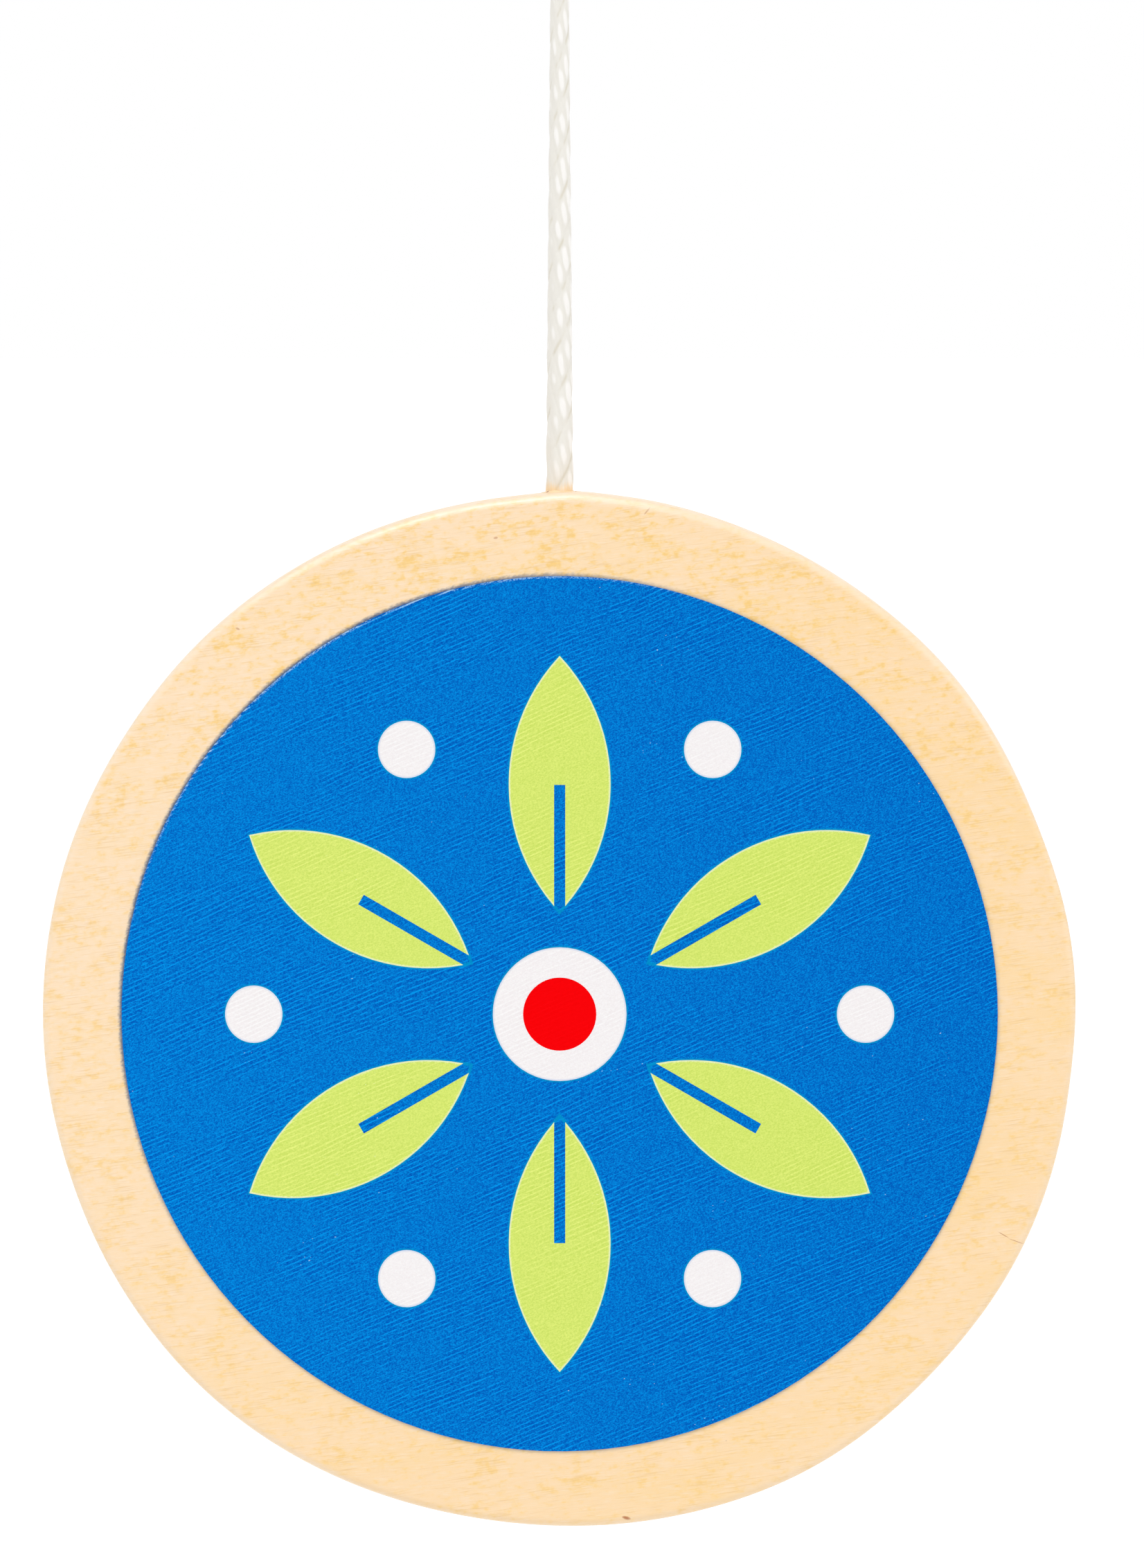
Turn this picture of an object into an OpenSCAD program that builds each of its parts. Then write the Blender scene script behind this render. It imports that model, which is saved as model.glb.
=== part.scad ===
// One hanging figure of a baby mobile: a printed wooden disc on a laid cord that ends in a knotted loop.
// Millimetres, +Z up. The origin is the loop's seat on its hook, and the printed front faces -Y.

/* [Disc] */
// Diameter of the wooden disc
disc_d = 65; // [55:1:90]
// Thickness of the wooden disc
disc_t = 6; // [4.5:0.5:10]
// Radius of the disc's rounded edges
edge_r = 0.5; // [0.2:0.1:1.5]

/* [Print] */
// Bare wood between the print and the rim
bare_border = 5; // [2:0.5:8]
// Thickness of the printed film
film_t = 0.1; // [0.05:0.01:0.3]
// Number of leaves, and of dots between them
leaf_count = 6; // [4:1:8]
// Width of a leaf at its middle
leaf_w = 6.4; // [4:0.2:8]
// Ground left between a leaf's tip and the print's edge
leaf_edge_gap = 5; // [2:0.5:7]
// Ground left between a leaf's tip and the centre ring
leaf_ring_gap = 2.2; // [1:0.1:4]
// Width of the vein left open along a leaf
vein_w = 0.7; // [0.4:0.1:1.2]
// Length of the vein
vein_len = 8; // [3:0.5:9]
// Diameter of a dot
dot_d = 3.6; // [2:0.2:5]
// Ground left between a dot and the print's edge
dot_edge_gap = 6.5; // [3:0.5:9]
// Outer diameter of the centre ring
ring_d = 8.4; // [6:0.2:11]
// Diameter of the round centre inside the ring
centre_d = 4.6; // [3:0.2:5.4]

/* [Cord] */
// Diameter of the cord where it leaves the rim
cord_low_d = 1.7; // [1.2:0.1:2.2]
// Diameter of the cord, drawn tighter, at the knot and in the loop
cord_high_d = 1.1; // [0.8:0.1:1.2]
// Length of cord from the rim to the knot's lower turn
free_len = 40; // [25:1:80]
// Height above the rim at which the cord lets the disc nod
nod_rise = 1.4; // [1.2:0.1:3]
// Height above that at which the cord lets the disc rock
rock_rise = 3.2; // [2.4:0.1:5]
// Height above that at which the cord turns
spin_rise = 3.2; // [2.4:0.1:5]
// Clearance between two stretches of the cord
bend_gap = 0.25; // [0.15:0.05:0.4]

/* [Hole in the rim] */
// Depth of the blind hole that takes the cord's end
hole_depth = 10; // [6:0.5:16]
// Thickness of the glue between the cord and the wood
glue_wall = 0.3; // [0.15:0.05:0.6]
// Glue under the cord's end
glue_floor = 1; // [0.5:0.1:2]
// Depth of the glue's surface below the rim
glue_drop = 0.4; // [0.2:0.1:1]
// Clearance between the glue and what it fills
glue_gap = 0.02; // [0.01:0.01:0.05]

/* [Knot] */
// Length over a turn of the knot
turn_len = 4.6; // [4:0.1:6]
// Height of the upper turn above the lower one
turn_rise = 2; // [1.8:0.1:2.6]
// Difference between a turn's thickness and that of the core between the turns
core_step = 0.2; // [0.1:0.05:0.4]
// Clearance between the knot and the cord that bends beside it
knot_gap = 0.3; // [0.2:0.05:0.5]
// Length of the cut tail
tail_len = 3; // [2:0.5:5]
// Angle of the tail below the level
tail_angle = 50; // [30:5:60]

/* [Hidden] */
$fn = 96;

// Half of the loop's centreline, from the crown to the knot, as [x, z]
loop_half = [
    [0, 0], [1.7, -0.5], [2.9, -1.7], [3.4, -3.4], [3.1, -4.8], [2.5, -6.2],
    [1.9, -7.5], [1.3, -8.8], [0.9, -9.8], [0.7, -10.8], [0.7, -12]
];
loop_last = len(loop_half) - 1;
loop_route = concat(
    [for (i = [loop_last:-1:1]) [-loop_half[i].x, loop_half[i].y]],
    loop_half
);
loop_sides = 8;

// A turn of the knot is two cords thick
turn_d = 2 * cord_high_d;

// Radii
disc_r = disc_d / 2;
low_r = cord_low_d / 2;
high_r = cord_high_d / 2;
turn_r = turn_d / 2;
hole_r = low_r + glue_wall;
print_r = disc_r - bare_border;

// Levels, from the loop's seat down
loop_foot_z = high_r + loop_half[loop_last].y;
upper_turn_z = loop_foot_z - knot_gap - turn_r;
lower_turn_z = upper_turn_z - turn_rise;
rim_z = lower_turn_z - free_len;
disc_z = rim_z - disc_r;
nod_z = rim_z + nod_rise;
rock_z = nod_z + rock_rise;
spin_z = rock_z + spin_rise;
hole_z = rim_z - hole_depth;
cord_end_z = hole_z + glue_floor;

// Rosette
leaf_start = ring_d / 2 + leaf_ring_gap;
leaf_end = print_r - leaf_edge_gap;
leaf_half = (leaf_end - leaf_start) / 2;
leaf_arc_r = (leaf_half * leaf_half + leaf_w * leaf_w / 4) / leaf_w;
dot_reach = print_r - dot_edge_gap - dot_d / 2;
leaf_step = 360 / leaf_count;

// Colours
wood_colour = [0.99, 0.87, 0.69];
blue_ink = [0.01, 0.45, 0.81];
green_ink = [0.84, 0.92, 0.44];
white_ink = [0.96, 0.95, 0.95];
red_ink = [0.96, 0.04, 0.09];
cord_colour = [0.95, 0.94, 0.91];
glue_colour = [0.93, 0.85, 0.66];

// Half of the disc's section: straight faces and rim with a quarter round between them
module disc_section() {
    flat_half = disc_t / 2 - edge_r;
    translate([0, -disc_t / 2])
        square([disc_r - edge_r, disc_t]);
    translate([0, -flat_half])
        square([disc_r, 2 * flat_half]);
    for (side = [-1, 1])
        translate([disc_r - edge_r, side * flat_half])
            circle(r = edge_r);
}

module wood_disc() {
    color(wood_colour)
        difference() {
            translate([0, 0, disc_z])
                rotate([90, 0, 0])
                    rotate_extrude()
                        disc_section();
            translate([0, 0, hole_z])
                cylinder(r = hole_r, h = hole_depth + disc_t);
        }
}

module glue_plug() {
    glue_top = rim_z - glue_drop;
    color(glue_colour)
        difference() {
            translate([0, 0, hole_z])
                cylinder(r = hole_r - glue_gap, h = glue_top - hole_z);
            translate([0, 0, cord_end_z - glue_gap])
                cylinder(r = low_r + glue_gap, h = glue_top - hole_z);
        }
}

// A leaf between two equal arcs, upright, with an open vein from its inner tip
module leaf() {
    difference() {
        translate([0, leaf_start + leaf_half])
            intersection_for (side = [-1, 1])
                translate([side * (leaf_arc_r - leaf_w / 2), 0])
                    circle(r = leaf_arc_r);
        translate([-vein_w / 2, leaf_start - vein_w])
            square([vein_w, vein_w + vein_len]);
    }
}

module leaves() {
    for (i = [0:leaf_count - 1])
        rotate(i * leaf_step)
            leaf();
}

module dots() {
    for (i = [0:leaf_count - 1])
        rotate((i + 0.5) * leaf_step)
            translate([0, dot_reach])
                circle(d = dot_d);
}

module ring() {
    difference() {
        circle(d = ring_d);
        circle(d = centre_d);
    }
}

module ground() {
    difference() {
        circle(r = print_r);
        leaves();
        dots();
        circle(d = ring_d);
    }
}

// Lays a flat shape on the front, or on the back after a half turn, as film on the wood
module film(half_turn) {
    translate([0, 0, disc_z])
        rotate([0, 0, half_turn])
            translate([0, -disc_t / 2, 0])
                rotate([90, 0, 0])
                    linear_extrude(film_t)
                        children();
}

module blue_print(half_turn) {
    color(blue_ink)
        film(half_turn)
            ground();
}

module green_print(half_turn) {
    color(green_ink)
        film(half_turn)
            leaves();
}

module white_print(half_turn) {
    color(white_ink)
        film(half_turn) {
            dots();
            ring();
        }
}

module red_print(half_turn) {
    color(red_ink)
        film(half_turn)
            circle(d = centre_d);
}

// The glued end: it stands out of the hole to a round top at the nod
module cord_end() {
    color(cord_colour) {
        translate([0, 0, cord_end_z])
            cylinder(r = low_r, h = nod_z - cord_end_z);
        translate([0, 0, nod_z])
            sphere(r = low_r);
    }
}

// The short stretch between the nod and the rock, with a round top at the rock
module cord_bend() {
    foot_z = nod_z + low_r + bend_gap;
    color(cord_colour) {
        translate([0, 0, foot_z])
            cylinder(r = low_r, h = rock_z - foot_z);
        translate([0, 0, rock_z])
            sphere(r = low_r);
    }
}

module cord_lower() {
    foot_z = rock_z + low_r + bend_gap;
    color(cord_colour)
        translate([0, 0, foot_z])
            cylinder(r = low_r, h = spin_z - foot_z);
}

// The long stretch up to the knot, thinner towards its top
module cord_upper() {
    foot_z = spin_z + bend_gap;
    top_z = lower_turn_z - turn_r - knot_gap;
    color(cord_colour)
        translate([0, 0, foot_z])
            cylinder(r1 = low_r, r2 = high_r, h = top_z - foot_z);
}

// A round-ended turn of the knot along Z
module turn() {
    straight = turn_len - turn_d;
    cylinder(r = turn_r, h = straight, center = true);
    for (side = [-1, 1])
        translate([0, 0, side * straight / 2])
            sphere(r = turn_r);
}

// Two crossed turns with a core between them, and the cut tail behind
module loop_knot() {
    tail_root = turn_len / 2 - turn_r;
    color(cord_colour) {
        translate([0, 0, upper_turn_z])
            rotate([0, 90, 0])
                turn();
        translate([0, 0, lower_turn_z])
            rotate([90, 0, 0])
                turn();
        translate([0, 0, lower_turn_z])
            cylinder(r = turn_r - core_step / 2, h = turn_rise);
        translate([0, tail_root, lower_turn_z])
            rotate([-90 - tail_angle, 0, 0])
                cylinder(r = high_r, h = turn_r + tail_len);
    }
}

// A ring of points round the loop's centreline at one of its points
function loop_way(i) =
    loop_route[min(i + 1, len(loop_route) - 1)] - loop_route[max(i - 1, 0)];
function loop_ring(i) =
    let (way = loop_way(i) / norm(loop_way(i)))
    [
        for (k = [0:loop_sides - 1])
            let (turned = 360 * k / loop_sides, out = high_r * cos(turned))
            [
                loop_route[i].x + out * way.y,
                high_r * sin(turned),
                high_r + loop_route[i].y - out * way.x
            ]
    ];

module hanging_loop() {
    rings = len(loop_route);
    last = rings - 1;
    points = [for (i = [0:last]) each loop_ring(i)];
    walls = [
        for (i = [0:last - 1], k = [0:loop_sides - 1])
            let (
                a = i * loop_sides + k,
                b = i * loop_sides + (k + 1) % loop_sides
            )
            each [[a, b, b + loop_sides], [a, b + loop_sides, a + loop_sides]]
    ];
    first_cap = [for (k = [loop_sides - 1:-1:0]) k];
    last_cap = [for (k = [0:loop_sides - 1]) last * loop_sides + k];
    color(cord_colour)
        polyhedron(points, concat(walls, [first_cap, last_cap]));
}

hanging_loop();
loop_knot();
cord_upper();
cord_lower();
cord_bend();
cord_end();
glue_plug();
wood_disc();
blue_print(0);  // front_blue_ink
green_print(0);  // front_green_ink
white_print(0);  // front_white_ink
red_print(0);  // front_red_ink
blue_print(180);  // back_blue_ink
green_print(180);  // back_green_ink
white_print(180);  // back_white_ink
red_print(180);  // back_red_ink
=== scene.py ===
import math
import bmesh
import bpy
import numpy as np
from mathutils import Matrix, Vector


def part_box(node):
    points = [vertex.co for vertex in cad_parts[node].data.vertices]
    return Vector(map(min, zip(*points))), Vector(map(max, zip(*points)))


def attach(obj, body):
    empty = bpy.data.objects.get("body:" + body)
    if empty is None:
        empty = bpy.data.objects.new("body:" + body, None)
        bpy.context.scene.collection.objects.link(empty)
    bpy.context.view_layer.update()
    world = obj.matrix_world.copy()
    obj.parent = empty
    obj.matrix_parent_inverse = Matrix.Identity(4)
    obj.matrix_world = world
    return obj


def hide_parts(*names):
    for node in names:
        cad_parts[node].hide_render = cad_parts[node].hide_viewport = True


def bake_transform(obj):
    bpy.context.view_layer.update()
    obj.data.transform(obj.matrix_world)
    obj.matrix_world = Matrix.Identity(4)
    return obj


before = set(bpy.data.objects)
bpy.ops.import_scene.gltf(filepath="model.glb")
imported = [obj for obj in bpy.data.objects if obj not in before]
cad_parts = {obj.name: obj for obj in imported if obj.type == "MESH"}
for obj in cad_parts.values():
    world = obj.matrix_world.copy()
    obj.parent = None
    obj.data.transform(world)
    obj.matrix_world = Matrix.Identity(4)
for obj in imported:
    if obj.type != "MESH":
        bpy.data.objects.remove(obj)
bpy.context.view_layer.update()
mm = 0.001

# Where things are, read from the frame
discLow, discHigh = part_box("wood_disc")
discRadius = (discHigh.x - discLow.x) / 2
discHalf = (discHigh.y - discLow.y) / 2           # half of the disc's thickness
discZ = discLow.z + discRadius
rimZ = discZ + discRadius                         # top of the rim, where the cord goes in
faceCentre = Vector((0, -discHalf, discZ))
printLow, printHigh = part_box("front_blue_ink")
printRadius = (printHigh.x - printLow.x) / 2
plugLow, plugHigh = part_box("glue_plug")
holeRadius = (plugHigh.x - plugLow.x) / 2
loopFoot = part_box("hanging_loop")[0].z
print("frame loaded, disc", round(2000 * discRadius, 1), "mm across")


def addPiece(name, data):
    piece = bpy.data.objects.new(name, data)
    bpy.context.scene.collection.objects.link(piece)
    return piece


def addMesh(name, points, faces):
    mesh = bpy.data.meshes.new(name)
    mesh.from_pydata(points, [], faces)
    return addPiece(name, mesh)


# Camera
cameraSet = {
    "azimuth": 0.0,
    "elevation": 3.0,
    "distance": 1.2,
    "photoWide": 1652,
    "photoHigh": 2264,
    "facePixel": (808.2, 1464.2),                 # where the middle of the front face lands
    "radiusPixels": 747.6,                        # the disc's radius in the photograph
    "sensor": 36.0,
    "clip": (0.01, 60),                           # nearest and farthest that shows
}


def placeCamera(s):
    turn = math.radians(s["azimuth"])
    rise = math.radians(s["elevation"])
    back = Vector((math.sin(turn) * math.cos(rise), -math.cos(turn) * math.cos(rise), math.sin(rise)))
    focal = s["radiusPixels"] * s["distance"] / discRadius                  # in pixels
    right = Vector((0, 0, 1)).cross(back).normalized()
    up = back.cross(right)
    pixel = s["distance"] / focal                                           # metres to a pixel at the face
    aside = (s["photoWide"] / 2 - s["facePixel"][0]) * pixel
    above = (s["facePixel"][1] - s["photoHigh"] / 2) * pixel
    target = faceCentre + right * aside + up * above
    camera = addPiece("camera", bpy.data.cameras.new("camera"))
    camera.location = faceCentre + back * s["distance"]
    camera.rotation_euler = (target - camera.location).to_track_quat("-Z", "Y").to_euler()
    camera.data.sensor_width = s["sensor"]
    camera.data.lens = focal * s["sensor"] / s["photoHigh"]
    camera.data.clip_start, camera.data.clip_end = s["clip"]
    bpy.context.scene.camera = camera


placeCamera(cameraSet)
print("camera placed")


# Cord: one laid rope from the hole up through the knot, round the loop,
# and back through the knot to its cut tail
cordSet = {
    "strands": 3,
    "yarns": 6,                                   # in each strand
    "pitch": 8.9 * mm,                            # one turn of a strand
    "yarnPitch": 5.1 * mm,                        # the other way round, so that yarns lie along the cord
    "strandMiddle": 0.15,                         # share of the radius
    "yarnDepth": 0.08,                            # share of the radius
    "yarnRound": 0.96,                            # 1 is a half circle
    "yarnShift": 0.37,                            # from one strand to the next, in yarns
    "grooveFrom": 0.8,                            # share of a strand's half width
    "lowRadius": 0.89 * mm,
    "highRadius": 0.55 * mm,
    "taperLength": 38.0 * mm,
    "ringStep": 0.125 * mm,
    "sides": 72,
    "glued": 8.9 * mm,                            # length in the hole
    "tipLength": 0.5 * mm,                        # sealed tip of the tail
    "tipSwell": 0.1,
    "tipRadius": 0.9,                             # share of the radius, where no yarn shows
    "plainTone": 0.5,                             # shading of the tip and the caps
    "mapScale": 100,                              # the map counts centimetres along the cord
    "curveSteps": 40,                             # between two points of a line
    "smoothing": 12,                              # rounds that ease the joins of the route
}
loopHalf = [                                      # half of the loop's line, crown to knot, x and z in mm
    (0, 0), (1.7, -0.5), (2.9, -1.7), (3.4, -3.4), (3.1, -4.8), (2.5, -6.2),
    (1.9, -7.5), (1.3, -8.8), (0.9, -9.8), (0.7, -10.8),
]
knotSet = {
    "middle": -14.0 * mm,
    "slack": 1.5 * mm,                            # size of one step of the slack route
    "apart": 0.6,                                 # each strand from the slack route, in thicknesses
    "squeeze": 0.88,                              # how flat the cord is pressed in the knot
    "step": 0.4 * mm,
    "rounds": 700,
    "evenEvery": 20,                              # rounds
    "pull": 0.4,                                  # share of the way to straight in one round
    "pushes": 3,                                  # in one round
    "neighbours": 1.7,                            # thicknesses along the cord within which nothing pushes
    "legGap": 0.7 * mm,
    "low": -17.6 * mm,                            # where the cord hangs straight again
    "tail": (0.2 * mm, 3.5 * mm, -17.9 * mm),
}
slackKnot = [                                     # the doubled cord before the knot is drawn tight
    (-1.2, 0.5, 3.2), (-2.5, 0.8, 0.3), (-1.2, 0.6, -2.6), (1.4, 0.0, -2.6),
    (2.7, -0.7, 0.0), (1.2, -1.2, 2.2), (-1.6, -1.2, 1.7), (-3.6, 0.5, 0.9),
    (-2.4, 2.1, -0.3), (0.0, 0.9, -0.6), (1.0, -1.4, -1.9), (0.4, -1.2, -4.2),
]


def lengthAlong(path):
    return np.r_[0, np.cumsum(np.linalg.norm(np.diff(path, axis=0), axis=1))]


def evenPath(path, step):
    length = lengthAlong(path)
    marks = np.linspace(0, length[-1], int(round(length[-1] / step)) + 1)
    return np.stack([np.interp(marks, length, path[:, axis]) for axis in range(3)], 1)


def curvedPath(points, step):                     # a smooth line through a few points
    points = np.array(points, float)
    p = np.vstack([2 * points[0] - points[1], points, 2 * points[-1] - points[-2]])
    t = np.linspace(0, 1, cordSet["curveSteps"], endpoint=False)[:, None]
    runs = []
    for a, b, c, d in zip(p[:-3], p[1:-2], p[2:-1], p[3:]):
        square = 2 * a - 5 * b + 4 * c - d
        cube = 3 * b - a - 3 * c + d
        runs.append(0.5 * (2 * b + (c - a) * t + square * t ** 2 + cube * t ** 3))
    return evenPath(np.vstack(runs + [points[-1:]]), step)


def sideways(path, first):                        # a way across the path, carried along without twist
    way = np.gradient(path, axis=0)
    way /= np.linalg.norm(way, axis=1)[:, None]
    across = np.zeros_like(path)
    side = np.array(first, float)
    for i, along in enumerate(way):
        side = side - along * (side @ along)
        side = side / np.linalg.norm(side)
        across[i] = side
    return across, np.cross(way, across)


def tightKnot(s, slack, thick):                   # draws both strands of the slack knot tight on each other
    top = loopHalf[-1][1] * mm + cordSet["highRadius"]
    turns = [tuple(np.array(p) * s["slack"] + (0, 0, s["middle"])) for p in slack]
    middle = curvedPath([(0, 0, top)] + turns + [(0, 0, s["low"])], s["step"])
    across = sideways(middle, (1, 0, 0))[0]
    strands = [middle + way * s["apart"] * thick * across for way in (1, -1)]
    strands[0][0] = (s["legGap"], 0, top)
    strands[1][0] = (-s["legGap"], 0, top)
    strands[0][-1] = (0, 0, s["low"])
    strands[1][-1] = s["tail"]
    least = thick * s["squeeze"]
    for turn in range(s["rounds"]):
        if turn % s["evenEvery"] == 0:
            strands = [evenPath(line, s["step"]) for line in strands]
            count = len(strands[0])
            points = np.vstack(strands)
            order = np.arange(len(points))
            order[count:] += 10 * len(points)     # the strands always push each other
            a, b = np.triu_indices(len(points), 1)
            far = order[b] - order[a] > s["neighbours"] * thick / s["step"]
            a, b = a[far], b[far]
            free = np.setdiff1d(np.arange(len(points)), [0, count - 1, count, len(points) - 1])
        points[free] += s["pull"] * (0.5 * (points[free - 1] + points[free + 1]) - points[free])
        for push in range(s["pushes"]):
            gap = points[b] - points[a]
            size = np.linalg.norm(gap, axis=1)
            hit = size < least
            if not hit.any():
                break
            shift = (0.5 * (least - size[hit]) / size[hit])[:, None] * gap[hit]
            total = np.zeros_like(points)
            times = np.zeros(len(points))
            np.add.at(total, a[hit], -shift)
            np.add.at(total, b[hit], shift)
            np.add.at(times, a[hit], 1)
            np.add.at(times, b[hit], 1)
            points[free] += total[free] / np.maximum(times, 1)[free, None]
        strands = [points[:count], points[count:]]
    return strands


def cordRoute(s):
    standing, working = tightKnot(knotSet, slackKnot, 2 * s["highRadius"])
    crown = [(x * mm, 0, z * mm + s["highRadius"]) for x, z in loopHalf[::-1]]
    crown += [(-x * mm, 0, z * mm + s["highRadius"]) for x, z in loopHalf[1:]]
    loop = curvedPath(crown, s["ringStep"])
    start = [(0, 0, rimZ - s["glued"])]
    path = evenPath(np.vstack([start, standing[::-1], loop[1:], working[1:]]), s["ringStep"])
    for smoothing in range(s["smoothing"]):
        path[1:-1] += 0.5 * (0.5 * (path[:-2] + path[2:]) - path[1:-1])
    reach = lengthAlong(path) - s["glued"]
    return path, reach                            # reach is the length of cord above the rim


def ropeRings(s, path, reach):
    across, over = sideways(path, (1, 0, 0))
    taper = np.clip(reach / s["taperLength"], 0, 1)
    radius = s["lowRadius"] + (s["highRadius"] - s["lowRadius"]) * taper
    tip = np.clip((reach - reach[-1]) / s["tipLength"] + 1, 0, 1)           # rises over the sealed tip
    radius = radius * (1 + s["tipSwell"] * np.sin(np.pi * tip))
    angle = np.arange(s["sides"]) * 2 * np.pi / s["sides"]
    lay = (angle[None, :] / (2 * np.pi) - reach[:, None] / s["pitch"]) * s["strands"]
    number = np.floor(lay) % s["strands"]
    share = 2 * (lay - np.floor(lay)) - 1                                   # -1 to 1 across the strand
    bend = share * np.pi / s["strands"]
    middle = s["strandMiddle"]
    strand = 1 - middle
    bulge = middle * np.cos(bend) + np.sqrt(strand ** 2 - (middle * np.sin(bend)) ** 2)
    local = np.arcsin(np.clip(bulge * np.sin(bend) / strand, -1, 1))        # angle round the strand itself
    yarn = s["yarns"] * (local / (2 * np.pi) + reach[:, None] / s["yarnPitch"]) + s["yarnShift"] * number
    spread = 2 * (yarn - np.floor(yarn)) - 1                                # -1 to 1 across the yarn
    hollow = 1 - np.sqrt(1 - s["yarnRound"] * spread ** 2)
    sealed = tip[:, None]
    shape = bulge * (1 - s["yarnDepth"] * hollow)
    shape = shape + (s["tipRadius"] - shape) * sealed
    crest = (1 - share ** 2) * (1 - spread ** 2)                            # 1 where a yarn tops its strand
    crest = crest + (s["plainTone"] - crest) * sealed
    groove = np.clip((np.abs(share) - s["grooveFrom"]) / (1 - s["grooveFrom"]), 0, 1)
    groove = groove * (1 - sealed)                                          # 1 between two strands
    out = radius[:, None] * shape
    rings = path[:, None, :] + out[..., None] * (
        np.cos(angle)[None, :, None] * across[:, None, :] + np.sin(angle)[None, :, None] * over[:, None, :]
    )
    return rings, {"crest": crest, "groove": groove}


def ropePiece(name, runs, rings, tones, reach):   # tubes over runs of rings; each cap has points of its own
    sides = rings.shape[1]
    points, faces, places = [], [], []
    shades = {tone: [] for tone in tones}
    capShades = [cordSet["plainTone"]] * (2 * sides + 2)
    for first, last in runs:
        base = len(points)
        points.extend(rings[first:last + 1].reshape(-1, 3).tolist())
        for tone, values in tones.items():
            shades[tone].extend(values[first:last + 1].ravel().tolist() + capShades)
        for i in range(last - first):
            row = base + i * sides
            low, high = reach[first + i], reach[first + i + 1]
            for k in range(sides):
                n = (k + 1) % sides
                left, right = k / sides, (k + 1) / sides
                faces.append((row + k, row + n, row + sides + n))
                faces.append((row + k, row + sides + n, row + sides + k))
                places.extend([(left, low), (right, low), (right, high)])
                places.extend([(left, low), (right, high), (left, high)])
        for end, flip in ((first, True), (last, False)):
            ring = len(points)
            points.extend(rings[end].tolist() + [rings[end].mean(0).tolist()])
            for k in range(sides):
                n = (k + 1) % sides
                pair = (ring + n, ring + k) if flip else (ring + k, ring + n)
                faces.append((*pair, ring + sides))
                places.extend([(k / sides, reach[end])] * 3)
    piece = addMesh(name, points, faces)
    flatMap = (np.array(places) * (1, cordSet["mapScale"])).ravel()
    piece.data.uv_layers.new(name="ropeMap").data.foreach_set("uv", flatMap)
    for tone, values in shades.items():
        piece.data.attributes.new(tone, "FLOAT", "POINT").data.foreach_set("value", values)
    piece.data.shade_smooth()
    return piece


cutSet = {                                        # where the cord is cut into pieces, and where it bends
    "nodTop": 3.0 * mm,                           # length above the rim
    "rockTop": 6.2 * mm,
    "mainTop": 36.5 * mm,
    "lowBend": (1.4 * mm, 1.4 * mm),              # how far a bend spreads above and below its pivot
    "neckBend": (1.45 * mm, 1.45 * mm),
    "legBend": (2.25 * mm, 0.65 * mm),
    "neckUp": 5.2 * mm,                           # cord drawn into the knot with the neck
    "legDown": 3.4 * mm,                          # cord drawn into the knot with each leg of the loop
}


def makeCord(s, cuts):
    path, reach = cordRoute(s)
    rings, tones = ropeRings(s, path, reach)
    crown = int(np.argmax(path[:, 2]))
    below = path[:, 2] < loopFoot
    legUp = int(np.nonzero(below[:crown])[0][-1])                           # last ring below the loop's foot
    legDown = crown + int(np.nonzero(below[crown:])[0][0])
    drawn = int(round(cuts["legDown"] / s["ringStep"]))
    legUp, legDown = legUp - drawn, legDown + drawn

    def ringAt(length):
        return int(np.argmin(np.abs(reach - length)))

    nodTop, rockTop, mainTop = (ringAt(cuts[key]) for key in ("nodTop", "rockTop", "mainTop"))
    neckTop = ringAt(-rimZ + knotSet["low"] + cuts["neckUp"])
    last = len(path) - 1
    runs = {
        "cord_glued_end": [(0, nodTop)],
        "cord_low_bend": [(nodTop, rockTop)],
        "cord_main": [(rockTop, mainTop)],
        "cord_neck": [(mainTop, neckTop)],
        "knot_turns": [(neckTop, legUp), (legDown, last)],
        "loop_cord": [(legUp, legDown)],
    }
    pieces = {name: ropePiece(name, run, rings, tones, reach) for name, run in runs.items()}

    def bendAt(name):
        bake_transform(pieces[name])

    bendAt("cord_glued_end")
    bendAt("cord_low_bend")
    bendAt("cord_neck")
    bendAt("loop_cord")
    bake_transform(pieces["cord_main"])
    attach(pieces["knot_turns"], "knot")
    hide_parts("cord_end")
    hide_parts("cord_bend")
    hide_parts("cord_lower", "cord_upper")
    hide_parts("loop_knot")
    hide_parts("hanging_loop")
    reach[mainTop] - reach[rockTop]
    [pieces[name] for name in runs if name != "cord_main"]
    print("cord made,", len(path), "rings,", round(1000 * (reach[-1] + s["glued"]), 1), "mm long in all")
    return pieces


cordPieces = makeCord(cordSet, cutSet)


# Disc: sawn round and sanded by hand, so that its rim is a little uneven
discSet = {
    "edge": 0.5 * mm,                             # radius of the rounded edges
    "edgeSteps": 8,
    "crown": 0.04 * mm,                           # how far the rim stands out between its edges
    "faceRings": (0.3, 0.6, 0.85, 1.0),           # shares of the flat face
    "support": 0.2 * mm,                          # narrow flat ring that keeps the face's shading even
    "around": 480,
    "sharp": 40,                                  # degrees above which an edge stays sharp
    "holeGap": 0.005 * mm,                        # between the glue and the wood
    "holeSides": 64,
    "drillRise": 2 * mm,                          # how far above the rim the drill starts
    "sanding": [                                  # clock angle from the top, height in mm, half width
        (1, 0.13, 3.5), (7, 0.16, 12), (48, 0.08, 9), (68, -0.22, 10),
        (97, -0.13, 8), (120, 0.13, 12), (150, 0.22, 13), (-171, -0.29, 18),
        (-136, 0.09, 12), (-107, -0.07, 9), (-57, -0.08, 10),
    ],
}


def rimRadius(s, clock):
    total = np.full(np.shape(clock), discRadius)
    for middle, height, width in s["sanding"]:
        away = (np.asarray(clock) - middle + 180) % 360 - 180
        total = total + height * mm * np.exp(-(away / width) ** 2)
    return total


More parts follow.
